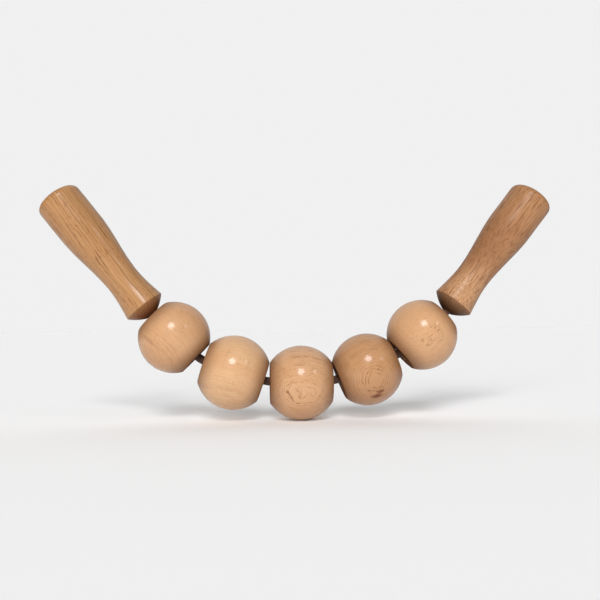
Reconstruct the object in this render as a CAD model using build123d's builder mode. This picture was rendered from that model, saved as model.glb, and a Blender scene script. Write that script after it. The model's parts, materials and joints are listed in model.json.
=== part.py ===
from build123d import *
from math import acos, cos, degrees, radians, sin, sqrt
import os

# A massage roller: five turned beech balls strung on one cord, with a turned beech grip at each end.
# Millimetres. +Z is up and +X runs towards the right grip. The cord lies in the XZ plane, bent into a
# smile, and the roller stands on its middle ball. The origin is the middle of the bounding box's base.

# Balls, from the left grip to the right one. They are turned one by one, so they differ a little.
ball_diameters = (49.6, 51.7, 51.8, 50.4, 49.6)
ball_length_ratio = 0.84  # length between the flats of a ball, over its diameter
ball_bore_radius = 4.0
ball_mouth_radius = 5.5  # the bore widens to this at both flats, where the cord bends
ball_mouth_depth = 3.0
ball_rim_radius = 1.5

# The cord. Each straight stretch ends in a round nose that turns in the next one's hollow end.
cord_radius = 3.0
hollow_radius = 3.4

# Bend of the cord at each gap, in degrees: left grip, four gaps between balls, right grip.
gap_bends = (6.9, 26.0, 18.7, 21.2, 19.9, 10.8)
rim_clearance = 0.2  # between the inner rims of two neighbouring balls
left_grip_gap = 1.5
right_grip_gap = 4.2

# Grips. Stations run along the grip from the tip of its cone.
grip_length = 107.6
grip_bore_radius = 3.5
tip_radius = 4.4
cone_length = 7.5
cone_bulge = 0.6
rim_radius = 14.5
rim_edge_radius = 0.5
waist_station = 31.0
waist_radius = 11.7
rim_slope = -0.16
hold_station = 78.0
hold_radius = 15.8
edge_radius = 5.0
dome_radius = 32.0

# Inside each grip: a socket from the outer end, closed by a plug, holds the stopped end of the cord.
socket_radius = 8.0
socket_floor = 72.0
plug_face = 94.0
washer_radius = 7.0
washer_hole_radius = 3.1
washer_thickness = 1.5
washer_clearance = 0.3
ferrule_radius = 4.6
ferrule_length = 12.0
crimp_depth = 0.5
crimp_width = 1.6
crimp_count = 3
cord_tail = 1.5  # cord left standing past the ferrule

# Worked out from the sizes above.
middle_ball = len(ball_diameters) // 2
edge_centre_radius = hold_radius - edge_radius
edge_angle = degrees(acos(sqrt((dome_radius - edge_radius) ** 2 - edge_centre_radius**2)
                          / (dome_radius - edge_radius)))
edge_station = grip_length - dome_radius + (dome_radius - edge_radius) * cos(radians(edge_angle))
washer_station = socket_floor + washer_clearance
ferrule_station = washer_station + washer_thickness
cord_end_station = ferrule_station + ferrule_length + cord_tail
sides = {
    "left": (-1, ball_diameters[middle_ball::-1], gap_bends[middle_ball::-1], left_grip_gap),
    "right": (1, ball_diameters[middle_ball:], gap_bends[middle_ball + 1:], right_grip_gap),
}


def half_length(diameter):
    """From a ball's middle to either flat."""
    return ball_length_ratio * diameter / 2


def gap_reach(diameter, bend):
    """From a ball's flat to the point where the cord bends, so that the inner rims all but touch."""
    flat_radius = sqrt((diameter / 2) ** 2 - half_length(diameter) ** 2)
    half_bend = radians(bend / 2)
    return (flat_radius * sin(half_bend) + rim_clearance / 2) / cos(half_bend)


def move_on(plane, distance, turn=0.0):
    """The plane further along the cord, turned inwards by an angle."""
    return Plane(plane.location * Location((distance, 0, 0), (0, 0, turn)))


def lay_out(side, middle_x):
    """Planes along one side: the bends, the balls (middle one first) and the grip's tip.

    Each plane's x runs along the cord, away from the middle, and its y points to the inside of the arc.
    """
    sign, diameters, bends, grip_gap = sides[side]
    here = Plane(origin=(middle_x, 0, diameters[0] / 2), x_dir=(sign, 0, 0), z_dir=(0, -sign, 0))
    ball_planes = [here]
    bend_planes = []
    for near, far, bend in zip(diameters, diameters[1:], bends):
        here = move_on(here, half_length(near) + gap_reach(near, bend), bend)
        bend_planes.append(here)
        here = move_on(here, gap_reach(far, bend) + half_length(far))
        ball_planes.append(here)
    here = move_on(here, half_length(diameters[-1]) + grip_gap / 2, bends[-1])
    bend_planes.append(here)
    return bend_planes, ball_planes, move_on(here, grip_gap / 2)


def furthest_x(side):
    """How far a grip reaches along X when the middle ball stands at x = 0."""
    tip = lay_out(side, 0.0)[2]
    return tip.from_local_coords((edge_station, -edge_centre_radius, 0)).X + sides[side][0] * edge_radius


def turning_axis(plane):
    return Axis(plane.origin, plane.x_dir)


def write_ball(label, plane, diameter):
    """A sphere cut flat at both ends of its bore, with countersunk mouths."""
    length = half_length(diameter)
    rim_angle = degrees(acos(ball_length_ratio))
    with BuildPart() as ball:
        with BuildSketch(plane) as outline:
            with BuildLine():
                sphere = CenterArc((0, 0), diameter / 2, rim_angle, 180 - 2 * rim_angle)
                Polyline(
                    sphere @ 1,
                    (-length, ball_mouth_radius),
                    (-length + ball_mouth_depth, ball_bore_radius),
                    (length - ball_mouth_depth, ball_bore_radius),
                    (length, ball_mouth_radius),
                    sphere @ 0,
                )
            make_face()
            rims = [corner for corner in outline.vertices() if corner.Y > ball_mouth_radius + ball_rim_radius]
            fillet(rims, ball_rim_radius)
        revolve(axis=turning_axis(plane))
    ball.part.label = label
    export_step(ball.part, f"parts/{label}.step")


def write_middle_cord(label, plane, back, forward):
    """The cord in the middle ball: a round nose at both ends."""
    with BuildPart() as cord:
        with BuildSketch(plane):
            with BuildLine():
                front = CenterArc((forward, 0), cord_radius, 0, 90)
                rear = CenterArc((-back, 0), cord_radius, 90, 90)
                Line(front @ 1, rear @ 0)
                Line(rear @ 1, front @ 0)
            make_face()
        revolve(axis=turning_axis(plane))
    cord.part.label = label
    export_step(cord.part, f"parts/{label}.step")


def write_cord(label, plane, length, round_nose):
    """A stretch of cord with a hollow at its start, for the nose before it, and a nose or a cut end."""
    mouth_angle = degrees(acos(sqrt(hollow_radius**2 - cord_radius**2) / hollow_radius))
    with BuildPart() as cord:
        with BuildSketch(plane):
            with BuildLine():
                hollow = CenterArc((0, 0), hollow_radius, 0, mouth_angle)
                if round_nose:
                    nose = CenterArc((length, 0), cord_radius, 0, 90)
                else:
                    nose = Line((length, 0), (length, cord_radius))
                Line(hollow @ 1, nose @ 1)
                Line(nose @ 0, hollow @ 0)
            make_face()
        revolve(axis=turning_axis(plane))
    cord.part.label = label
    export_step(cord.part, f"parts/{label}.step")


def write_grip(label, plane):
    """A turned handle: coned tip, crisp rim, waist, straight hold and domed end with a socket in it."""
    socket_angle = degrees(acos(sqrt(dome_radius**2 - socket_radius**2) / dome_radius))
    dome_centre = grip_length - dome_radius
    with BuildPart() as grip:
        with BuildSketch(plane) as outline:
            with BuildLine():
                cone = SagittaArc((0, tip_radius), (cone_length, rim_radius), cone_bulge)
                waist = (waist_station, waist_radius)
                Spline(cone @ 1, waist, tangents=((1, rim_slope), (1, 0)))
                hold = Spline(waist, (hold_station, hold_radius), tangents=((1, 0), (1, 0)))
                edge = CenterArc((edge_station, edge_centre_radius), edge_radius, edge_angle, 90 - edge_angle)
                Line(hold @ 1, edge @ 1)
                dome = CenterArc((dome_centre, 0), dome_radius, socket_angle, edge_angle - socket_angle)
                Polyline(
                    dome @ 0,
                    (socket_floor, socket_radius),
                    (socket_floor, grip_bore_radius),
                    (0, grip_bore_radius),
                    cone @ 0,
                )
            make_face()
            rim = outline.vertices().sort_by_distance((cone_length, rim_radius))[0]
            fillet(rim, rim_edge_radius)
        revolve(axis=turning_axis(plane))
    grip.part.label = label
    export_step(grip.part, f"parts/{label}.step")


def write_end_plug(label, plane):
    """The wooden plug that closes a grip's socket and carries on its dome."""
    socket_angle = degrees(acos(sqrt(dome_radius**2 - socket_radius**2) / dome_radius))
    with BuildPart() as plug:
        with BuildSketch(plane):
            with BuildLine():
                dome = CenterArc((grip_length - dome_radius, 0), dome_radius, 0, socket_angle)
                Polyline(dome @ 1, (plug_face, socket_radius), (plug_face, 0), dome @ 0)
            make_face()
        revolve(axis=turning_axis(plane))
    plug.part.label = label
    export_step(plug.part, f"parts/{label}.step")


def write_washer(label, plane):
    """The washer that bears on the socket's floor when the cord is pulled."""
    with BuildPart() as washer:
        with BuildSketch(plane):
            with Locations((washer_station + washer_thickness / 2, (washer_radius + washer_hole_radius) / 2)):
                Rectangle(washer_thickness, washer_radius - washer_hole_radius)
        revolve(axis=turning_axis(plane))
    washer.part.label = label
    export_step(washer.part, f"parts/{label}.step")


def write_ferrule(label, plane):
    """The sleeve crimped on the cord's end, with rolled grooves."""
    with BuildPart() as ferrule:
        with BuildSketch(plane):
            with Locations((ferrule_station + ferrule_length / 2, (ferrule_radius + cord_radius) / 2)):
                Rectangle(ferrule_length, ferrule_radius - cord_radius)
            pitch = ferrule_length / (crimp_count + 1)
            grooves = [(ferrule_station + pitch * (i + 1), ferrule_radius) for i in range(crimp_count)]
            with Locations(grooves):
                Rectangle(crimp_width, 2 * crimp_depth, mode=Mode.SUBTRACT)
        revolve(axis=turning_axis(plane))
    ferrule.part.label = label
    export_step(ferrule.part, f"parts/{label}.step")


# Both grips reach equally far from the origin, so the middle ball stands a little off it.
middle_x = -(furthest_x("left") + furthest_x("right")) / 2
layouts = {side: lay_out(side, middle_x) for side in sides}

os.makedirs("parts", exist_ok=True)

middle_diameter = ball_diameters[middle_ball]
middle_plane = layouts["right"][1][0]
write_ball(f"ball_{middle_ball + 1}", middle_plane, middle_diameter)
write_middle_cord(
    f"cord_{middle_ball + 1}",
    middle_plane,
    half_length(middle_diameter) + gap_reach(middle_diameter, gap_bends[middle_ball]),
    half_length(middle_diameter) + gap_reach(middle_diameter, gap_bends[middle_ball + 1]),
)

for side, (bend_planes, ball_planes, tip_plane) in layouts.items():
    sign, diameters, bends, grip_gap = sides[side]
    for step in range(1, len(ball_planes)):
        number = middle_ball + 1 + sign * step
        write_ball(f"ball_{number}", ball_planes[step], diameters[step])
        stretch = (bend_planes[step].origin - bend_planes[step - 1].origin).length
        write_cord(f"cord_{number}", bend_planes[step - 1], stretch, round_nose=True)
    write_cord(f"cord_{side}_end", bend_planes[-1], grip_gap / 2 + cord_end_station, round_nose=False)
    write_grip(f"{side}_grip", tip_plane)
    write_end_plug(f"{side}_end_plug", tip_plane)
    write_washer(f"{side}_washer", tip_plane)
    write_ferrule(f"{side}_ferrule", tip_plane)
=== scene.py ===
import json
import math

import bpy
from mathutils import Matrix, Vector, noise


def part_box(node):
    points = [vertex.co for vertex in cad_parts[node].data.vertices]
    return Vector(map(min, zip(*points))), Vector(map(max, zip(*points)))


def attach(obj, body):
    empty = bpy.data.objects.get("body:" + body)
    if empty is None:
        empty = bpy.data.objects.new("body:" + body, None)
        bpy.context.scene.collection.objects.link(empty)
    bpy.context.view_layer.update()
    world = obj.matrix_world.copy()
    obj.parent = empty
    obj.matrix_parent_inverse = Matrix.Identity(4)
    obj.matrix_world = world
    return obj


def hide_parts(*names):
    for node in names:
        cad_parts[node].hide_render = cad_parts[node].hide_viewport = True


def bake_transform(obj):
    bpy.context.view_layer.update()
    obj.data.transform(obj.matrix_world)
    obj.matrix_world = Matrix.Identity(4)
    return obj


# A massage roller: five turned beech balls and two turned beech grips on one braided cord.
# Metres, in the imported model's frame: +X towards the right grip, +Z up, the viewer on the -Y side.
# Profiles and wood figures are given in millimetres, in each piece's own turning frame.

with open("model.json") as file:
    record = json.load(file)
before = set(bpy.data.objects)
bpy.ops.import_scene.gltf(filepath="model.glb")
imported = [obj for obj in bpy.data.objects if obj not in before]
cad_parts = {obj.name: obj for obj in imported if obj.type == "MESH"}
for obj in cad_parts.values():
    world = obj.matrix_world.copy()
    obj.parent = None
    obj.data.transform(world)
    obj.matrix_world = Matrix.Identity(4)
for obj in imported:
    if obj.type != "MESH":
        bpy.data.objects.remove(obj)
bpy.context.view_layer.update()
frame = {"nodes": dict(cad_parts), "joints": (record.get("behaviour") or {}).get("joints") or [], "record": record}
joints = {joint["name"]: joint for joint in frame["joints"]}
MM = 0.001

# Turned shapes, the same as in the CAD source.
BALLS = ("ball_1", "ball_2", "ball_3", "ball_4", "ball_5")
BALL_LENGTH_RATIO = 0.84
BALL_BORE_RADIUS = 4.0
BALL_MOUTH_RADIUS = 5.5
BALL_MOUTH_DEPTH = 3.0
BALL_RIM_RADIUS = 1.5
GRIP_LENGTH = 107.6
GRIP_BORE_RADIUS = 3.5
TIP_RADIUS = 4.4
CONE_LENGTH = 7.5
CONE_BULGE = 0.6
RIM_RADIUS = 14.5
RIM_SLOPE = -0.16
WAIST_STATION = 31.0
WAIST_RADIUS = 11.7
HOLD_STATION = 78.0
HOLD_RADIUS = 15.8
EDGE_RADIUS = 5.0
DOME_RADIUS = 32.0
SOCKET_RADIUS = 8.0
SOCKET_FLOOR = 72.0
PLUG_FACE = 94.0
PLUG_GAP = 0.06
CORD_RADIUS = 3.0
CORD_END_STATION = 87.3

# The turner's finish.
ARRIS = 0.35  # how far each sharp edge is sanded back
PLUG_ARRIS = 0.2
SMOOTH_TURN = math.radians(8)  # runs that meet at less than this have no edge to sand
MOST_SANDED = 0.45  # of the way to the next point of a run
HAND_SANDING = 0.10  # how far a surface is from true
SANDING_WAVE = (14.0, 1.3)  # its length along the piece, in millimetres, and its rate round the piece
BALL_SEED_STEP = 3.7  # so that no two balls are sanded alike
SEGMENTS = 144  # round a turned piece


# ---------------------------------------------------------------- profiles, as (station, radius) points


def arc(centre, radius, start, end, steps):
    """Points on an arc, from one angle to another, in degrees."""
    angles = [math.radians(start + (end - start) * i / steps) for i in range(steps + 1)]
    return [(centre[0] + radius * math.cos(a), centre[1] + radius * math.sin(a)) for a in angles]


def line(start, end, steps):
    return [(start[0] + (end[0] - start[0]) * i / steps, start[1] + (end[1] - start[1]) * i / steps)
            for i in range(steps + 1)]


def easy_curve(start, end, start_slope, end_slope, steps):
    """A cubic between two points with a given slope at each end. Its end tangents are as long as the chord."""
    chord = math.dist(start, end)
    tangents = []
    for slope in (start_slope, end_slope):
        length = math.hypot(1, slope)
        tangents.append((chord / length, chord * slope / length))
    points = []
    for i in range(steps + 1):
        t = i / steps
        weights = (2 * t**3 - 3 * t**2 + 1, t**3 - 2 * t**2 + t, 3 * t**2 - 2 * t**3, t**3 - t**2)
        points.append(tuple(
            sum(w * p[axis] for w, p in zip(weights, (start, tangents[0], end, tangents[1])))
            for axis in (0, 1)
        ))
    return points


def bulged(start, end, bulge, steps):
    """An arc between two points that stands out from its chord by bulge."""
    along = Vector(end) - Vector(start)
    outwards = Vector((-along.y, along.x)).normalized()
    points = []
    for x, y in line(start, end, steps):
        share = (Vector((x, y)) - Vector(start)).length / along.length
        lift = outwards * bulge * 4 * share * (1 - share)
        points.append((x + lift.x, y + lift.y))
    return points


def sanded(runs, trim=ARRIS, steps=5):
    """Joins runs of points into one closed outline, with each corner between two runs rounded."""
    outline = []
    for run, following in zip(runs, runs[1:] + runs[:1]):
        corner = Vector(run[-1])
        previous = Vector(run[-2])
        after = Vector(following[1])
        turn = (corner - previous).angle(after - corner, 0)
        outline += run[1:-1]
        if turn < SMOOTH_TURN:
            outline.append(run[-1])
            continue
        nearest = min((corner - previous).length, (after - corner).length)
        reach = min(trim, MOST_SANDED * nearest)
        enter = corner + (previous - corner).normalized() * reach
        leave = corner + (after - corner).normalized() * reach
        for i in range(steps + 1):
            t = i / steps
            outline.append(tuple(enter * (1 - t) ** 2 + corner * 2 * t * (1 - t) + leave * t**2))
    return outline


def ball_outline(diameter):
    radius = diameter / 2
    length = BALL_LENGTH_RATIO * radius
    rim_x = length - BALL_RIM_RADIUS
    rim_y = math.sqrt((radius - BALL_RIM_RADIUS) ** 2 - rim_x**2)
    rim_angle = math.degrees(math.atan2(rim_y, rim_x))
    bore_end = length - BALL_MOUTH_DEPTH
    return sanded([
        arc((rim_x, rim_y), BALL_RIM_RADIUS, 0, rim_angle, 8)
        + arc((0, 0), radius, rim_angle, 180 - rim_angle, 72)[1:]
        + arc((-rim_x, rim_y), BALL_RIM_RADIUS, 180 - rim_angle, 180, 8)[1:],
        line((-length, rim_y), (-length, BALL_MOUTH_RADIUS), 6),
        line((-length, BALL_MOUTH_RADIUS), (-bore_end, BALL_BORE_RADIUS), 4),
        line((-bore_end, BALL_BORE_RADIUS), (bore_end, BALL_BORE_RADIUS), 24),
        line((bore_end, BALL_BORE_RADIUS), (length, BALL_MOUTH_RADIUS), 4),
        line((length, BALL_MOUTH_RADIUS), (length, rim_y), 6),
    ])


def dome_angles():
    """Where the grip's end edge meets its dome, and where the socket cuts the dome, in degrees
    from the axis."""
    reach = DOME_RADIUS - EDGE_RADIUS
    edge = math.degrees(math.asin((HOLD_RADIUS - EDGE_RADIUS) / reach))
    socket = math.degrees(math.asin(SOCKET_RADIUS / DOME_RADIUS))
    return edge, socket


def grip_outline():
    edge_angle, socket_angle = dome_angles()
    dome_centre = (GRIP_LENGTH - DOME_RADIUS, 0)
    edge_station = dome_centre[0] + (DOME_RADIUS - EDGE_RADIUS) * math.cos(math.radians(edge_angle))
    edge_centre = (edge_station, HOLD_RADIUS - EDGE_RADIUS)
    rim = (CONE_LENGTH, RIM_RADIUS)
    waist = (WAIST_STATION, WAIST_RADIUS)
    hold = (HOLD_STATION, HOLD_RADIUS)
    dome = arc(dome_centre, DOME_RADIUS, edge_angle, socket_angle, 14)
    return sanded([
        bulged((0, TIP_RADIUS), rim, CONE_BULGE, 12),
        easy_curve(rim, waist, RIM_SLOPE, 0, 40)
        + easy_curve(waist, hold, 0, 0, 60)[1:]
        + line(hold, (edge_station, HOLD_RADIUS), 20)[1:]
        + arc(edge_centre, EDGE_RADIUS, 90, edge_angle, 14)[1:]
        + dome[1:],
        line(dome[-1], (SOCKET_FLOOR, SOCKET_RADIUS), 20),
        line((SOCKET_FLOOR, SOCKET_RADIUS), (SOCKET_FLOOR, GRIP_BORE_RADIUS), 4),
        line((SOCKET_FLOOR, GRIP_BORE_RADIUS), (0, GRIP_BORE_RADIUS), 40),
        line((0, GRIP_BORE_RADIUS), (0, TIP_RADIUS), 2),
    ])


def plug_outline():
    """Open outline from the axis at the dome's top to the axis at the plug's inner face."""
    socket_angle = dome_angles()[1]
    radius = SOCKET_RADIUS - PLUG_GAP
    dome = arc((GRIP_LENGTH - DOME_RADIUS, 0), DOME_RADIUS, 0, socket_angle * radius / SOCKET_RADIUS, 12)
    side = line(dome[-1], (PLUG_FACE, radius), 10)
    face = line((PLUG_FACE, radius), (PLUG_FACE, 0), 6)
    closed = sanded([dome, side, face, [face[-1], dome[0]]], trim=PLUG_ARRIS)
    return [p for p in closed if p[1] > 1e-6]  # without the points on the axis


# ---------------------------------------------------------------- turned meshes


def new_object(name, vertices, faces):
    mesh = bpy.data.meshes.new(name)
    mesh.from_pydata(vertices, [], faces)
    mesh.polygons.foreach_set("use_smooth", [True] * len(faces))
    mesh.update()
    made = bpy.data.objects.new(name, mesh)
    bpy.context.scene.collection.objects.link(made)
    return made


def lathe(name, outline, poles=None, unevenness=0.0, seed=0.0):
    """Turns an outline round X. A closed outline makes a ring; poles are the two axis stations of an
    open one. Unevenness is how far the surface is from true, and each seed gives another surface."""
    turned_area = sum(a[0] * b[1] - b[0] * a[1] for a, b in zip(outline, outline[1:] + outline[:1]))
    if turned_area > 0:  # run it the other way, so that the faces look outwards
        outline = outline[::-1]
        poles = poles and poles[::-1]
    wave_length, waves_round = SANDING_WAVE
    vertices = []
    for station, radius in outline:
        for i in range(SEGMENTS):
            angle = 2 * math.pi * i / SEGMENTS
            y = math.cos(angle)
            z = math.sin(angle)
            place = Vector((station / wave_length + seed, y * waves_round + seed, z * waves_round))
            wave = noise.noise(place)
            r = radius + unevenness * wave
            vertices.append((station * MM, r * y * MM, r * z * MM))
    rings = len(outline)
    faces = []
    for ring in range(rings if poles is None else rings - 1):
        here = ring * SEGMENTS
        there = (ring + 1) % rings * SEGMENTS
        for i in range(SEGMENTS):
            j = (i + 1) % SEGMENTS
            faces.append((here + i, here + j, there + j, there + i))
    if poles is not None:
        first = len(vertices)
        vertices += [(poles[0] * MM, 0, 0), (poles[1] * MM, 0, 0)]
        last_ring = (rings - 1) * SEGMENTS
        for i in range(SEGMENTS):
            j = (i + 1) % SEGMENTS
            faces.append((first, j, i))
            faces.append((first + 1, last_ring + i, last_ring + j))
    return new_object(name, vertices, faces)


def turning_frame(joint_name, outwards):
    """The frame of a turned piece: x along its axis, z to the inside of the arc, y across.

    x points away from the middle of the roller if outwards, and otherwise towards +X.
    """
    joint = joints[joint_name]
    along = Vector(joint["axis"])
    if not outwards and along.x < 0:
        along = -along
    up = Vector((-along.z, 0, along.x)) if along.x > 0 else Vector((along.z, 0, -along.x))
    across = up.cross(along)
    matrix = Matrix((along, across, up)).transposed().to_4x4()
    matrix.translation = Vector(joint["pos_m"])
    return matrix


# ---------------------------------------------------------------- shader nodes

MIDDLE = (0.3, 0.7)  # most of the range of a noise


def set_inputs(tree, node, inputs):
    """Sets a node's inputs; a value that is another node's socket is linked."""
    for key, value in inputs.items():
        if isinstance(value, bpy.types.NodeSocket):
            tree.links.new(value, node.inputs[key])
        else:
            node.inputs[key].default_value = value


def add_node(tree, kind, inputs=None, **settings):
    node = tree.nodes.new(kind)
    for key, value in settings.items():
        setattr(node, key, value)
    set_inputs(tree, node, inputs or {})
    return node


def math_node(tree, operation, a, b=0.0, c=0.0):
    return add_node(tree, "ShaderNodeMath", {0: a, 1: b, 2: c}, operation=operation).outputs[0]


def product(tree, first, *factors):
    for factor in factors:
        first = math_node(tree, "MULTIPLY", first, factor)
    return first


def vector_math(tree, operation, a, b=(0, 0, 0)):
    node = add_node(tree, "ShaderNodeVectorMath", {0: a, 1: b}, operation=operation)
    return node.outputs["Value" if operation == "LENGTH" else "Vector"]


def scaled(tree, vector, factors):
    return vector_math(tree, "MULTIPLY", vector, factors)


def noise_value(tree, vector, detail=2.0, roughness=0.5):
    """Smooth noise of about 0 to 1, with one feature per unit of the vector."""
    inputs = {"Vector": vector, "Scale": 1.0, "Detail": detail, "Roughness": roughness}
    return add_node(tree, "ShaderNodeTexNoise", inputs).outputs["Fac"]


def noise_shift(tree, vector, reach):
    """A vector of smooth noise, up to about half of reach either way."""
    inputs = {"Vector": vector, "Scale": 1.0, "Detail": 2.0}
    colour = add_node(tree, "ShaderNodeTexNoise", inputs).outputs["Color"]
    return scaled(tree, vector_math(tree, "SUBTRACT", colour, (0.5, 0.5, 0.5)), reach)


def step(tree, value, low, high, out_low=0.0, out_high=1.0):
    """Smooth step from out_low at low to out_high at high."""
    inputs = {"Value": value, "From Min": low, "From Max": high, "To Min": out_low, "To Max": out_high}
    return add_node(tree, "ShaderNodeMapRange", inputs, interpolation_type="SMOOTHSTEP").outputs[0]


def mixed(tree, factor, a, b):
    node = add_node(tree, "ShaderNodeMix", {"Factor": factor}, data_type="RGBA")
    colour_inputs = [s for s in node.inputs if s.type == "RGBA"]
    for socket, value in zip(colour_inputs, (a, b)):
        if isinstance(value, bpy.types.NodeSocket):
            tree.links.new(value, socket)
        else:
            socket.default_value = (*value, 1.0)
    return next(s for s in node.outputs if s.type == "RGBA")


def layered(tree, colour, *layers):
    """A colour with layers over it, each a share and its tone."""
    for share, tone in layers:
        colour = mixed(tree, share, colour, tone)
    return colour


def bumped(tree, height, strength, depth, invert=False):
    """A normal bumped by a height; depth is in millimetres."""
    inputs = {"Strength": strength, "Distance": depth * MM, "Height": height}
    return add_node(tree, "ShaderNodeBump", inputs, invert=invert).outputs[0]


def new_material(name):
    material = bpy.data.materials.new(name)
    material.use_nodes = True
    tree = material.node_tree
    tree.nodes.clear()
    surface = tree.nodes.new("ShaderNodeBsdfPrincipled")
    output = tree.nodes.new("ShaderNodeOutputMaterial")
    tree.links.new(surface.outputs[0], output.inputs["Surface"])
    return material, tree, surface


def millimetres(tree):
    """The surface point in the piece's own frame, in millimetres."""
    place = add_node(tree, "ShaderNodeTexCoord").outputs["Object"]
    return scaled(tree, place, (1000, 1000, 1000))


# ---------------------------------------------------------------- wood

# How many noise features there are in a millimetre, along the fibres and across them.
WANDER_GRAIN = (0.016, 0.045, 0.045)
FLECK_GRAIN = (0.05, 0.3, 0.3)
CLUSTER_GRAIN = (0.05, 0.09, 0.09)
FIBRE_GRAIN = (0.10, 1.5, 1.5)
PORE_GRAIN = (0.55, 5.5, 5.5)
CLOUD_GRAIN = (0.022, 0.05, 0.05)
KNOT_GRAIN = (0.5, 0.9, 0.9)
WEAR_GRAIN = (0.08, 0.08, 0.08)
PEEL_GRAIN = (0.16, 0.3, 0.3)
SEED_STRIDE = (37.0, 11.0, 23.0)  # from the wood of one seed to the next, in millimetres

# A year of growth runs from 0 to 1. Each pair below is from where to where a share goes from none to all.
SPELLS_PER_YEAR = 0.45  # of good and of poor years
SPELL_SHIFT = 1.6  # how far they move a ring, in rings
LATE_WOOD = (0.25, 0.92)
LATE_WOOD_STOP = (1.0, 0.985)
LINE_FULL = 0.93  # where in the year the ring's line is darkest
LINE_STOP = (1.0, 0.975)
BREAK_BLUR = 0.16  # how softly a line breaks off
BROKEN_TRACE = 0.12  # what is left of a line where it is broken
SLAB_FACING = (0.75, 0.97)  # how squarely the surface faces away from the pith

FLECK_DEPTH = 16.0  # of a ray's blade, outwards, in millimetres
FLECK_SHIFT = (0.5, 1.2, 0.5)  # how unevenly the blades lie, in flecks
FLECK_EDGE = (0.36, 0.16)  # from the middle of its cell
FLECK_KEPT = (0.35, 0.75)  # which cells hold a fleck
DASH_BLUR = 0.10  # how soft a dash's edge is
DASH_CLUSTER = (0.40, 0.60)
PATCH_CORE = 0.6  # of a patch's reach, where its dashes have their full strength
DASH_TRACE = 0.15  # what is left of the dashes outside their patches

FIBRE_SHARE = (0.35, 0.75)
PORE_SHARE = (0.56, 0.72)
SPOT_CORE = 0.3  # of a spot's reach, where it has its full depth
PATCH_SQUASH = 0.5  # along the fibres, which draws a spot out
KNOT_SQUASH = 0.55
KNOT_SHIFT = (3.2, 2.2, 2.2)  # how ragged a knot's edge is, in millimetres

FLAT_END = (0.93, 1.0)  # how squarely the surface faces along the fibres
# how much of the knot colour the flats take: partly stained end grain, partly painted shade in the gaps
FLAT_STAIN_AND_GAP_SHADE = 0.6
COAT_FADE = (0.6, 0.93)  # the same, where the lacquer soaks in
WEAR_DEPTH = 0.04  # in roughness, as are the next two
END_ROUGHNESS = 0.2
FLAT_ROUGHNESS = 0.3
WOOD_BUMP = (0.35, 0.06)  # strength, and depth in millimetres
COAT_BUMP = 0.3
PORE_RELIEF = 0.35
KNOT_RELIEF = 0.3
COAT_RELIEF = -0.25  # how much of the wood's relief shows through the lacquer, as hollows


def spot(tree, point, place, squash, reach, depth):
    """A soft spot about a place: depth in its middle and 0 beyond its reach."""
    offset = scaled(tree, vector_math(tree, "SUBTRACT", point, place), (squash, 1, 1))
    return step(tree, vector_math(tree, "LENGTH", offset), reach, reach * SPOT_CORE, 0.0, depth)


def growth_rings(tree, look, seeded, normal, from_pith, distance):
    """How dark the late wood is, and how dark the line that ends each ring."""
    years = math_node(tree, "DIVIDE", distance, look["ring_gap"])
    spells = {"W": years, "Scale": SPELLS_PER_YEAR, "Detail": 1.0}
    spell = add_node(tree, "ShaderNodeTexNoise", spells, noise_dimensions="1D").outputs["Fac"]
    years = math_node(tree, "MULTIPLY_ADD", spell, SPELL_SHIFT, years)
    season = math_node(tree, "FRACT", years)
    year = math_node(tree, "FLOOR", years)
    dry_year = add_node(tree, "ShaderNodeTexWhiteNoise", {"W": year}, noise_dimensions="1D").outputs["Value"]

    # Late wood darkens slowly, ends in a thin line and stops sharply.
    late = product(tree, step(tree, season, *LATE_WOOD), step(tree, season, *LATE_WOOD_STOP))
    breaks = noise_value(tree, scaled(tree, seeded, look["breaks"]), 3.0, 0.65)
    broken_below = look["broken_below"]
    # Where the surface lies along the rings, the lines spread out and fade.
    radial = vector_math(tree, "NORMALIZE", scaled(tree, from_pith, (0, 1, 1)))
    facing = add_node(tree, "ShaderNodeVectorMath", {0: normal, 1: radial}, operation="DOT_PRODUCT")
    facing = math_node(tree, "ABSOLUTE", facing.outputs["Value"])
    ring_line = product(
        tree,
        step(tree, season, look["line_from"], LINE_FULL),
        step(tree, season, *LINE_STOP),
        step(tree, breaks, broken_below, broken_below + BREAK_BLUR, BROKEN_TRACE, 1.0),
        step(tree, dry_year, 0.0, 1.0, look["faintest"], 1.0),
        step(tree, facing, *SLAB_FACING, 1.0, look["slab_lines"]),
    )
    return late, ring_line


def ray_flecks(tree, look, seeded, parts, distance):
    """Thin blades that run out from the pith: dashes on one face, patches on another."""
    angle = math_node(tree, "ARCTAN2", parts["Z"], parts["Y"])
    pith_distance = math.hypot(*look["pith"])
    blade = add_node(tree, "ShaderNodeCombineXYZ", {
        "X": math_node(tree, "DIVIDE", parts["X"], look["fleck_length"]),
        "Y": math_node(tree, "MULTIPLY", angle, pith_distance / look["fleck_width"]),
        "Z": math_node(tree, "DIVIDE", distance, FLECK_DEPTH),
    }).outputs[0]
    shift = noise_shift(tree, scaled(tree, seeded, FLECK_GRAIN), FLECK_SHIFT)
    blade = vector_math(tree, "ADD", blade, shift)
    cells = add_node(tree, "ShaderNodeTexVoronoi", {"Vector": blade, "Scale": 1.0, "Randomness": 1.0})
    kept = add_node(tree, "ShaderNodeSeparateColor", {0: cells.outputs["Color"]}).outputs[0]
    return product(tree, step(tree, cells.outputs["Distance"], *FLECK_EDGE), step(tree, kept, *FLECK_KEPT))


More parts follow.
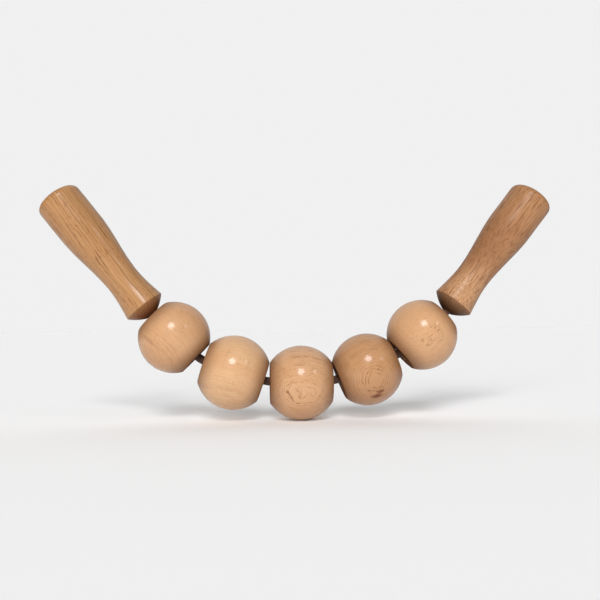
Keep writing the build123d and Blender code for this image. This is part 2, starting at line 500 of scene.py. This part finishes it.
def fibre_dashes(tree, look, seeded, point):
    """Short dark streaks along the fibres, in clusters; where a look has patches, mostly inside them."""
    dash = noise_value(tree, scaled(tree, seeded, look["dash_scale"]))
    dash = step(tree, dash, look["dash_from"], look["dash_from"] + DASH_BLUR)
    cluster = noise_value(tree, scaled(tree, seeded, CLUSTER_GRAIN))
    dash = product(tree, dash, look["dashes"], step(tree, cluster, *DASH_CLUSTER, look["dash_least"], 1.0))
    for place, reach in look["dash_patches"]:
        away = vector_math(tree, "LENGTH", vector_math(tree, "SUBTRACT", point, place))
        dash = product(tree, dash, step(tree, away, reach * PATCH_CORE, reach, 1.0, DASH_TRACE))
    return dash


def wood_material(name, look):
    """Lacquered beech: growth rings about a pith line, ray flecks, streaks, lighter and darker patches (one of
    them a painted sheen) and knots.
    """
    material, tree, surface = new_material(name)
    point = millimetres(tree)
    seeded = vector_math(tree, "ADD", point, [look["seed"] * stride for stride in SEED_STRIDE])
    normal = add_node(tree, "ShaderNodeTexCoord").outputs["Normal"]

    # Everything is measured from the pith line, which is tilted a little and wavers along the trunk.
    wander, ripple = (
        noise_shift(tree, scaled(tree, seeded, grain), (0, reach, reach))
        for grain, reach in ((WANDER_GRAIN, look["wander"]), (look["ripple_scale"], look["ripple"]))
    )
    wandering = vector_math(tree, "ADD", point, wander)
    from_pith = add_node(tree, "ShaderNodeMapping", {
        "Vector": vector_math(tree, "ADD", wandering, ripple),
        "Location": (0, -look["pith"][0], -look["pith"][1]),
        "Rotation": (0, math.radians(look["tilt"][0]), math.radians(look["tilt"][1])),
    }).outputs[0]
    parts = add_node(tree, "ShaderNodeSeparateXYZ", {0: from_pith}).outputs
    distance = math_node(
        tree, "ADD",
        vector_math(tree, "LENGTH", scaled(tree, from_pith, (0, 1, 1))),
        product(tree, parts["X"], parts["X"], look["bow"]),
    )

    late, ring_line = growth_rings(tree, look, seeded, normal, from_pith, distance)
    rings = product(tree, ring_line, look["rings"])
    flecks = product(tree, ray_flecks(tree, look, seeded, parts, distance), look["flecks"])
    fibre = noise_value(tree, scaled(tree, seeded, FIBRE_GRAIN), 4.0, 0.65)
    pore = noise_value(tree, scaled(tree, seeded, PORE_GRAIN))
    cloud = noise_value(tree, scaled(tree, seeded, CLOUD_GRAIN))
    colour = layered(
        tree, look["light"],
        (product(tree, late, look["late"]), look["dark"]),
        (step(tree, cloud, *MIDDLE, 0.0, look["cloud"]), look["warm"]),
        # Patches of another tone; the lighter one on the right grip is a painted sheen.
        *((spot(tree, wandering, place, PATCH_SQUASH, reach, depth), stain)
          for place, reach, depth, stain in look["stains"]),
        (step(tree, fibre, *FIBRE_SHARE, 0.0, look["fibre"]), look["dark"]),
        (product(tree, step(tree, pore, *PORE_SHARE), look["pores"]), look["line"]),
        (rings, look["line"]),
        (flecks, look["fleck"]),
        (fibre_dashes(tree, look, seeded, point), look["fleck"]),
    )
    relief = math_node(tree, "MULTIPLY_ADD", pore, PORE_RELIEF, math_node(tree, "ADD", rings, flecks))
    ragged = vector_math(tree, "ADD", point, noise_shift(tree, scaled(tree, seeded, KNOT_GRAIN), KNOT_SHIFT))
    for place, reach, depth in look["marks"]:
        knot = spot(tree, ragged, place, KNOT_SQUASH, reach, depth)
        colour = mixed(tree, knot, colour, look["knot"])
        relief = math_node(tree, "MULTIPLY_ADD", knot, KNOT_RELIEF, relief)

    # End grain, where the surface faces along the fibres, drinks the lacquer: darker and matt. The darkening is
    # also painted shade, on the balls' left and right sides and on the grips' coned ends.
    # outer_end is how much of this there is on the end that faces along +x.
    facing = add_node(tree, "ShaderNodeSeparateXYZ", {0: normal}).outputs["X"]
    end_share = step(tree, facing, -0.01, 0.01, 1.0, look["outer_end"])
    squarely = math_node(tree, "ABSOLUTE", facing)
    end_grain_and_shade = product(tree, step(tree, squarely, look["end_from"], 1.0), end_share)
    flat_ends_and_gap_shade = product(tree, step(tree, squarely, *FLAT_END), end_share)
    colour = layered(
        tree, colour,
        # Painted shade, partly end grain: the sides of the balls and the coned ends of the grips darken towards
        # the end tone.
        (product(tree, end_grain_and_shade, look["end_dark"]), look["end_grain_and_shade_tone"]),
        # Painted shade, partly stained end grain: the flats, which lie in the gaps between the balls, take the
        # knot colour.
        (product(tree, flat_ends_and_gap_shade, FLAT_STAIN_AND_GAP_SHADE), look["knot"]),
    )
    wear = noise_value(tree, scaled(tree, seeded, WEAR_GRAIN), 3.0, 0.6)
    rough = step(tree, wear, *MIDDLE, look["roughness"] - WEAR_DEPTH, look["roughness"] + WEAR_DEPTH)
    rough = math_node(tree, "MULTIPLY_ADD", end_grain_and_shade, END_ROUGHNESS, rough)
    rough = math_node(tree, "MULTIPLY_ADD", flat_ends_and_gap_shade, FLAT_ROUGHNESS, rough)
    peel = noise_value(tree, scaled(tree, seeded, PEEL_GRAIN))
    coat_relief = math_node(tree, "MULTIPLY_ADD", relief, COAT_RELIEF, peel)
    set_inputs(tree, surface, {
        "Base Color": colour,
        "Roughness": rough,
        "Specular IOR Level": look["specular"],
        "Normal": bumped(tree, relief, *WOOD_BUMP, invert=True),
        "Coat Weight": step(tree, squarely, *COAT_FADE, look["coat"], 0.0),
        "Coat Roughness": look["coat_roughness"],
        "Coat Normal": bumped(tree, coat_relief, COAT_BUMP, look["peel"]),
    })
    return material


# Grains are features per millimetre along the fibres and across them, as above; pith is where the pith
# lies across the piece, and ring_gap, peel, places and reaches are in millimetres.
BALL_WOOD = {
    "light": (0.494, 0.285, 0.150), "dark": (0.372, 0.193, 0.091), "warm": (0.460, 0.246, 0.122),
    "line": (0.175, 0.068, 0.024), "fleck": (0.205, 0.085, 0.034), "knot": (0.135, 0.030, 0.004),
    # From end_from on, a ball darkens towards its flats: partly end grain, partly painted shade on its left and
    # right sides.
    "end_grain_and_shade_tone": (0.140, 0.058, 0.023), "end_from": 0.40, "end_dark": 0.90, "outer_end": 1.0,
    "roughness": 0.46, "specular": 0.15, "coat": 0.52, "coat_roughness": 0.15, "peel": 0.08,
    "seed": 0.0, "wander": 6.0, "ripple": 1.6, "ripple_scale": (0.07, 0.22, 0.22), "tilt": (2.0, 1.0),
    "pith": (60.0, -8.0), "bow": 0.0, "ring_gap": 1.5, "late": 0.25, "rings": 0.45, "line_from": 0.76,
    "faintest": 0.35, "slab_lines": 0.3, "breaks": (0.09, 0.30, 0.30), "broken_below": 0.44,
    "cloud": 0.6, "fibre": 0.30, "pores": 0.12, "flecks": 0.20, "fleck_length": 3.2, "fleck_width": 0.55,
    "dashes": 0.25, "dash_scale": (0.25, 1.8, 1.8),
    "dash_from": 0.57, "dash_least": 0.1, "dash_patches": (), "marks": (), "stains": (),
}
GRIP_WOOD = {
    **BALL_WOOD,
    "light": (0.385, 0.206, 0.088), "dark": (0.262, 0.120, 0.045), "warm": (0.350, 0.170, 0.067),
    "line": (0.100, 0.028, 0.006), "fleck": (0.130, 0.045, 0.014),
    # On a grip the end tone falls mostly on the coned end: partly end grain, partly painted shade.
    "end_grain_and_shade_tone": (0.185, 0.054, 0.019), "end_from": 0.45, "end_dark": 0.90, "outer_end": 0.35,
    "roughness": 0.48, "specular": 0.2, "coat": 0.28, "coat_roughness": 0.24, "peel": 0.12,
}
DARK_GRIP_WOOD = {
    **GRIP_WOOD,
    "light": (0.366, 0.192, 0.094), "dark": (0.214, 0.094, 0.039), "warm": (0.290, 0.134, 0.058),
    # The near-black end tone is painted shade on the coned end beside ball 5.
    "end_grain_and_shade_tone": (0.034, 0.010, 0.003), "end_dark": 1.0, "outer_end": 0.18, "specular": 0.10,
}


def look_of(base, **changes):
    return {**base, **changes}


WOOD_LOOKS = {
    "ball_1": look_of(BALL_WOOD, seed=1.0, pith=(18.0, 60.0), rings=0.55, ring_gap=2.6, late=0.12,
                      faintest=0.1, breaks=(0.05, 0.20, 0.20), dashes=0.45,
                      dash_scale=(0.22, 2.2, 2.2)),
    "ball_2": look_of(BALL_WOOD, seed=2.0, pith=(10.0, 70.0), rings=0.22, ring_gap=2.8, late=0.10,
                      faintest=0.1, breaks=(0.05, 0.20, 0.20), dashes=0.28,
                      dash_scale=(0.14, 2.4, 2.4), light=(0.560, 0.347, 0.191)),
    "ball_3": look_of(BALL_WOOD, seed=3.0, pith=(70.0, 13.0), bow=0.014, rings=0.95, slab_lines=1.0,
                      ring_gap=0.46, late=0.20, ripple=1.0, ripple_scale=(0.24, 0.16, 0.16), wander=2.0,
                      breaks=(0.16, 0.30, 0.30), line_from=0.58, faintest=0.4, broken_below=0.46, flecks=0.10,
                      light=(0.508, 0.300, 0.165)),
    "ball_4": look_of(BALL_WOOD, seed=4.0, pith=(45.0, 13.0), bow=0.004, rings=1.0, slab_lines=1.0,
                      ring_gap=0.56, late=0.30, ripple=1.1, ripple_scale=(0.20, 0.18, 0.18), wander=2.5,
                      breaks=(0.16, 0.30, 0.30), line_from=0.56, faintest=0.5, broken_below=0.43, flecks=0.12,
                      light=(0.413, 0.227, 0.112), warm=(0.372, 0.188, 0.087),
                      marks=(((-2.4, -17.9, -17.3), 2.8, 0.95),
                             ((0.6, -19.8, -15.0), 2.1, 0.8),
                             ((-5.2, -18.3, -16.4), 1.6, 0.5))),
    "ball_5": look_of(BALL_WOOD, seed=5.0, pith=(70.0, -40.0), rings=0.25, ring_gap=2.4, late=0.10,
                      faintest=0.1, flecks=0.30, dashes=0.55, dash_scale=(0.11, 1.4, 1.4), dash_from=0.54,
                      dash_least=1.0, dash_patches=(((0.5, -24.3, -1.5), 11.0),)),
    "left_grip": look_of(GRIP_WOOD, seed=6.0, pith=(-8.0, 42.0), rings=1.0, ring_gap=2.0, late=0.35,
                         line_from=0.60, faintest=0.42, broken_below=0.42, ripple=2.4, flecks=0.12,
                         tilt=(1.2, 1.0), breaks=(0.025, 0.30, 0.30), dashes=0.55,
                         coat=0.40, coat_roughness=0.18),
    "right_grip": look_of(DARK_GRIP_WOOD, seed=7.0, pith=(12.0, 55.0), rings=0.30, late=0.2,
                          fleck_length=4.0, fleck_width=0.8, dashes=0.95, dash_scale=(0.08, 2.0, 2.0),
                          dash_from=0.52, dash_least=0.6, pores=0.3, coat=0.22, coat_roughness=0.28,
                          # The first patch, lighter, is a painted sheen on the flare by the coned end; the second
                          # is a darker patch.
                          stains=(((14.0, -12.0, 0.0), 18.0, 0.70, (0.470, 0.268, 0.142)),
                                  ((56.0, -10.0, 8.0), 18.0, 0.55, (0.215, 0.090, 0.038)))),
    "left_end_plug": look_of(GRIP_WOOD, seed=8.0, pith=(14.0, 5.0), rings=0.5),
    "right_end_plug": look_of(DARK_GRIP_WOOD, seed=9.0, pith=(-10.0, 16.0), rings=0.5),
}


# ---------------------------------------------------------------- cord and metal materials

CORD_FIBRE_GRAIN = (900, 40, 1)  # features per metre along the cord, and per turn round it
CORD_PATCH_GRAIN = (60, 3, 1)
CORD_BROWN = (0.085, 0.036, 0.020)
CORD_DARK = (0.058, 0.025, 0.014)
CORD_WORN = (0.125, 0.058, 0.034)
CORD_GROOVE_SHADE = (0.018, 0.009, 0.006)


def cord_material():
    """Waxed brown braid: fine fibres along each strand, with painted shade in the grooves."""
    material, tree, surface = new_material("cord_braid")
    place = add_node(tree, "ShaderNodeUVMap", uv_map="cord").outputs[0]
    fibre = noise_value(tree, scaled(tree, place, CORD_FIBRE_GRAIN), 3.0, 0.6)
    patch = noise_value(tree, scaled(tree, place, CORD_PATCH_GRAIN))
    groove = add_node(tree, "ShaderNodeAttribute", attribute_name="groove").outputs["Fac"]
    set_inputs(tree, surface, {
        "Base Color": layered(
            tree, CORD_BROWN,
            (step(tree, patch, *MIDDLE), CORD_DARK),
            (step(tree, fibre, 0.4, 0.7, 0.0, 0.5), CORD_WORN),
            # Painted shade: the grooves of the braid darken towards near-black.
            (step(tree, groove, 0.2, 1.0, 0.0, 0.75), CORD_GROOVE_SHADE),
        ),
        "Roughness": step(tree, fibre, *MIDDLE, 0.50, 0.68),
        "Sheen Weight": 0.05,
        "Sheen Roughness": 0.4,
        "Normal": bumped(tree, fibre, strength=0.4, depth=0.1),
    })
    return material


def metal_material(name, colour, dull, roughness, tool_marks):
    """Bare metal with fine tool marks, so many per millimetre along x, y and z, and dull patches."""
    material, tree, surface = new_material(name)
    point = millimetres(tree)
    lines = noise_value(tree, scaled(tree, point, tool_marks), 3.0, 0.6)
    patch = noise_value(tree, scaled(tree, point, (0.3, 0.3, 0.3)), 3.0, 0.6)
    set_inputs(tree, surface, {
        "Base Color": layered(
            tree, colour,
            (step(tree, lines, *MIDDLE, 0.0, 0.5), dull),
            (step(tree, patch, 0.5, 0.8, 0.0, 0.6), dull),
        ),
        "Roughness": step(tree, patch, *MIDDLE, roughness, roughness + 0.15),
        "Metallic": 1.0,
        "Normal": bumped(tree, lines, strength=0.3, depth=0.03),
    })
    return material


# ---------------------------------------------------------------- turned pieces

body_nodes = frame["record"]["behaviour"]["bodies"]
frame_bodies = {node: body for body, nodes in body_nodes.items() for node in nodes}


def finish_turned(piece, node, matrix):
    """Places a piece, gives it its own wood and puts it on its CAD node's body, in the node's stead."""
    piece.matrix_world = matrix
    piece.data.materials.append(wood_material(f"{node}_beech", WOOD_LOOKS[node]))
    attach(piece, frame_bodies[node])
    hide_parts(node)


for number, node in enumerate(BALLS):
    low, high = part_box(node)
    diameter = (high.y - low.y) / MM
    ball = lathe(f"{node}_turned", ball_outline(diameter), unevenness=HAND_SANDING,
                 seed=number * BALL_SEED_STEP)
    finish_turned(ball, node, turning_frame(f"{node}_spin", outwards=False))

for side in ("left", "right"):
    place = turning_frame(f"{side}_grip_turn", outwards=True)
    grip = lathe(f"{side}_grip_turned", grip_outline(), unevenness=HAND_SANDING, seed=len(side))
    finish_turned(grip, f"{side}_grip", place)
    plug = lathe(f"{side}_plug_turned", plug_outline(), poles=(GRIP_LENGTH, PLUG_FACE))
    finish_turned(plug, f"{side}_end_plug", place)


# ---------------------------------------------------------------- cord

# The cord is one length. Here it is cut in the middle of each ball, where nobody sees it, into stretches
# that each run between two bodies and curve round the joint between them.
CORD_RING_GAP = 0.35  # along the cord, between rings of the mesh
CORD_SEGMENTS = 64
STRANDS = 8  # each way round
STRAND_PITCH = 21.0  # along the cord, for one turn of a strand
BRAID_RELIEF = 0.28
UNDER_HEIGHT = 0.35  # of a strand where it passes under another, as a share of its height above
CORNER_STEPS = 40
# How far before and after a bend the cord curves at rest, and how far it follows both bodies.
BALL_BEND = (18.0, 7.0)
GRIP_BEND = (8.0, 4.0)


def cord_line(start, corner, end, reach):
    """Points along the cord from start to end, rounding the corner between them."""
    enter = corner + (start - corner).normalized() * reach
    leave = corner + (end - corner).normalized() * reach
    curve = []
    for i in range(CORNER_STEPS + 1):
        t = i / CORNER_STEPS
        curve.append(enter * (1 - t) ** 2 + corner * 2 * t * (1 - t) + leave * t**2)
    return [start] + curve + [end]


def evenly(points, gap):
    """The same line with points an even distance apart."""
    lengths = [0.0]
    for a, b in zip(points, points[1:]):
        lengths.append(lengths[-1] + (b - a).length)
    count = max(2, round(lengths[-1] / gap))
    spaced = []
    span = 0
    for i in range(count + 1):
        wanted = lengths[-1] * i / count
        while span < len(points) - 2 and lengths[span + 1] < wanted:
            span += 1
        share = (wanted - lengths[span]) / (lengths[span + 1] - lengths[span])
        spaced.append(points[span].lerp(points[span + 1], min(1.0, share)))
    return spaced


def braid_height(along, turn):
    """Height of the braid, 0 in the grooves to 1 on a strand, at a place along and round the cord."""
    up = turn * STRANDS + along / STRAND_PITCH * STRANDS
    down = turn * STRANDS - along / STRAND_PITCH * STRANDS
    over = 0.5 + 0.5 * math.cos(math.pi * up) * math.cos(math.pi * down)
    rise = 1 - UNDER_HEIGHT
    first = abs(math.cos(math.pi * (up + 0.5))) * (UNDER_HEIGHT + rise * over)
    second = abs(math.cos(math.pi * (down + 0.5))) * (UNDER_HEIGHT + rise * (1 - over))
    return max(first, second)


def cord_tube(name, points):
    """A braided tube along points in the XZ plane, closed at both ends."""
    vertices = []
    grooves = []  # 1 in a groove, 0 on a strand
    places = []  # along the cord, in metres, and round it
    travelled = 0.0
    for i, here in enumerate(points):
        ahead = points[min(i + 1, len(points) - 1)] - points[max(i - 1, 0)]
        across = Vector((-ahead.z, 0, ahead.x)).normalized()
        if i:
            travelled += (here - points[i - 1]).length / MM
        for k in range(CORD_SEGMENTS):
            turn = k / CORD_SEGMENTS
            height = braid_height(travelled, turn)
            radius = (CORD_RADIUS - BRAID_RELIEF * (1 - height)) * MM
            angle = 2 * math.pi * turn
            sideways = Vector((0, 1, 0)) * radius * math.sin(angle)
            vertices.append(here + across * radius * math.cos(angle) + sideways)
            grooves.append(1 - height)
            places.append((travelled * MM, turn))
    faces = []
    for i in range(len(points) - 1):
        for k in range(CORD_SEGMENTS):
            j = (k + 1) % CORD_SEGMENTS
            a = i * CORD_SEGMENTS
            b = a + CORD_SEGMENTS
            faces.append((a + k, b + k, b + j, a + j))
    for ring, end in ((0, points[0]), ((len(points) - 1) * CORD_SEGMENTS, points[-1])):
        vertices.append(end)
        grooves.append(0.5)
        places.append(places[ring])
        for k in range(CORD_SEGMENTS):
            j = (k + 1) % CORD_SEGMENTS
            face = (ring + k, ring + j, len(vertices) - 1)
            faces.append(face[::-1] if ring else face)
    tube = new_object(name, vertices, faces)
    tube.data.attributes.new("groove", "FLOAT", "POINT").data.foreach_set("value", grooves)
    uv = tube.data.uv_layers.new(name="cord")
    for loop in tube.data.loops:
        uv.data[loop.index].uv = places[loop.vertex_index]
    return tube


def point_of(joint_name):
    return Vector(joints[joint_name]["pos_m"])


def ball_middle(number):
    return point_of(f"ball_{number}_spin")


def cord_end(side):
    """Where the cord stops inside a grip."""
    axis = Vector(joints[f"{side}_grip_turn"]["axis"])
    return point_of(f"{side}_grip_turn") + axis * CORD_END_STATION * MM


# Each stretch: its name, the joint that it bends at, its two ends, how it bends, and the CAD nodes that it
# stands for. The ends are given in the order of the joint's parent and child.
CORD_STRETCHES = (
    ("cord_left_grip", "left_grip_bend", ball_middle(1), cord_end("left"), GRIP_BEND, ("cord_left_end",)),
    ("cord_1_to_2", "bend_1_2", ball_middle(2), ball_middle(1), BALL_BEND, ("cord_1",)),
    ("cord_2_to_3", "bend_2_3", ball_middle(3), ball_middle(2), BALL_BEND, ("cord_2", "cord_3")),
    ("cord_3_to_4", "bend_3_4", ball_middle(3), ball_middle(4), BALL_BEND, ("cord_4",)),
    ("cord_4_to_5", "bend_4_5", ball_middle(4), ball_middle(5), BALL_BEND, ("cord_5",)),
    ("cord_right_grip", "right_grip_bend", ball_middle(5), cord_end("right"), GRIP_BEND, ("cord_right_end",)),
)
braid = cord_material()
for name, joint_name, start, end, (curved, shared), nodes in CORD_STRETCHES:
    corner = point_of(joint_name)
    points = evenly(cord_line(start, corner, end, curved * MM), CORD_RING_GAP * MM)
    stretch = cord_tube(name, points)
    stretch.data.materials.append(braid)
    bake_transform(stretch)
    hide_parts(*nodes)


# ---------------------------------------------------------------- the metal end stops keep their CAD shape

steel = metal_material("washer_steel", colour=(0.56, 0.55, 0.53), dull=(0.33, 0.32, 0.31),
                       roughness=0.28, tool_marks=(0.4, 6.0, 6.0))
aluminium = metal_material("ferrule_aluminium", colour=(0.80, 0.80, 0.81), dull=(0.55, 0.55, 0.56),
                           roughness=0.32, tool_marks=(7.0, 0.5, 0.5))
for side in ("left", "right"):
    for node, metal in ((f"{side}_washer", steel), (f"{side}_ferrule", aluminium)):
        kept = frame["nodes"][node]
        kept.data.materials.clear()
        kept.data.materials.append(metal)


# ---------------------------------------------------------------- camera, light and floor

CAMERA_PLACE = (-0.0319, -0.4919, 0.0635)
CAMERA_ANGLES = (92.363, 0.623, -3.627)
CAMERA_LENS = 42.0
SENSOR_WIDTH = 36.0
KEY_STRENGTH = 1.5
FILL_STRENGTH = 2.9
BACK_STRENGTH = 0.8
SIDE_STRENGTH = 0.14
SIDE_TINT = (1.0, 0.93, 0.95)
FRONT_GLOW = 0.10
BACK_GLOW = 0.62
GLOW_TURN = (-0.2, 0.9)  # how far a direction points to the back, where the glow goes from one to the other
MIRROR_SHARE = 0.35  # of the room that shows in the lacquer
BACKDROP = 0.872
FLOOR_WHITE = 0.92
FLOOR_RINGS = (0.2, 0.5, 1.2, 3.0, 8.0, 40.0)
FLOOR_SIDES = 64

camera_data = bpy.data.cameras.new("camera")
camera_data.sensor_width = SENSOR_WIDTH
camera_data.lens = CAMERA_LENS
camera_data.clip_end = 200.0
camera = bpy.data.objects.new("camera", camera_data)
camera.location = CAMERA_PLACE
camera.rotation_euler = [math.radians(a) for a in CAMERA_ANGLES]
bpy.context.scene.collection.objects.link(camera)
bpy.context.scene.camera = camera
bpy.context.scene.view_settings.view_transform = "Standard"


def add_sun(name, azimuth, elevation, strength, width, tint=(1, 1, 1), sparkles=True):
    """A far lamp. Azimuth 0 is on the viewer's side and 90 towards +X; width is its angle in degrees.
    Sparkles says whether it shows in the lacquer."""
    data = bpy.data.lights.new(name, "SUN")
    data.energy = strength
    data.angle = math.radians(width)
    data.color = tint
    a = math.radians(azimuth)
    e = math.radians(elevation)
    lamp = bpy.data.objects.new(name, data)
    lamp.visible_glossy = sparkles
    towards = Vector((math.sin(a) * math.cos(e), -math.cos(a) * math.cos(e), math.sin(e)))
    lamp.rotation_euler = towards.to_track_quat("Z", "Y").to_euler()
    bpy.context.scene.collection.objects.link(lamp)


add_sun("key", azimuth=-3, elevation=38, strength=KEY_STRENGTH, width=19)
add_sun("fill", azimuth=-12, elevation=15, strength=FILL_STRENGTH, width=38, sparkles=False)
add_sun("back", azimuth=180, elevation=34, strength=BACK_STRENGTH, width=90)
add_sun("side", azimuth=47, elevation=33, strength=SIDE_STRENGTH, width=6, tint=SIDE_TINT)


def make_world():
    """A white room, bright behind the object and dim behind the viewer, that shows plain to the camera.
    The lacquer mirrors only a part of it."""
    world = bpy.data.worlds.new("studio")
    world.use_nodes = True
    tree = world.node_tree
    tree.nodes.clear()
    direction = add_node(tree, "ShaderNodeTexCoord").outputs["Generated"]
    backwards = add_node(tree, "ShaderNodeSeparateXYZ", {0: direction}).outputs["Y"]
    glow = step(tree, backwards, *GLOW_TURN, FRONT_GLOW, BACK_GLOW)
    rays = add_node(tree, "ShaderNodeLightPath").outputs
    mirrored = math_node(tree, "MULTIPLY_ADD", rays["Is Glossy Ray"], MIRROR_SHARE - 1.0, 1.0)
    cast, seen = (
        add_node(tree, "ShaderNodeBackground", {"Color": (1, 1, 1, 1), "Strength": strength}).outputs[0]
        for strength in (product(tree, glow, mirrored), BACKDROP)
    )
    both = add_node(tree, "ShaderNodeMixShader", {0: rays["Is Camera Ray"], 1: cast, 2: seen}).outputs[0]
    add_node(tree, "ShaderNodeOutputWorld", {"Surface": both})
    bpy.context.scene.world = world


def make_floor():
    """A round sheet of matt paper, in rings of faces that grow outwards."""
    vertices = [(0, 0, 0)]
    faces = []
    for radius in FLOOR_RINGS:
        for i in range(FLOOR_SIDES):
            angle = 2 * math.pi * i / FLOOR_SIDES
            vertices.append((radius * math.cos(angle), radius * math.sin(angle), 0))
    for i in range(FLOOR_SIDES):
        j = (i + 1) % FLOOR_SIDES
        faces.append((0, 1 + i, 1 + j))
        for ring in range(len(FLOOR_RINGS) - 1):
            a = 1 + ring * FLOOR_SIDES
            b = a + FLOOR_SIDES
            faces.append((a + i, b + i, b + j, a + j))
    floor = new_object("floor", vertices, faces)
    material, tree, surface = new_material("floor_paper")
    set_inputs(tree, surface, {
        "Base Color": (FLOOR_WHITE, FLOOR_WHITE, FLOOR_WHITE, 1),
        "Roughness": 0.9,
        "Specular IOR Level": 0.1,
    })
    floor.data.materials.append(material)


make_world()
make_floor()
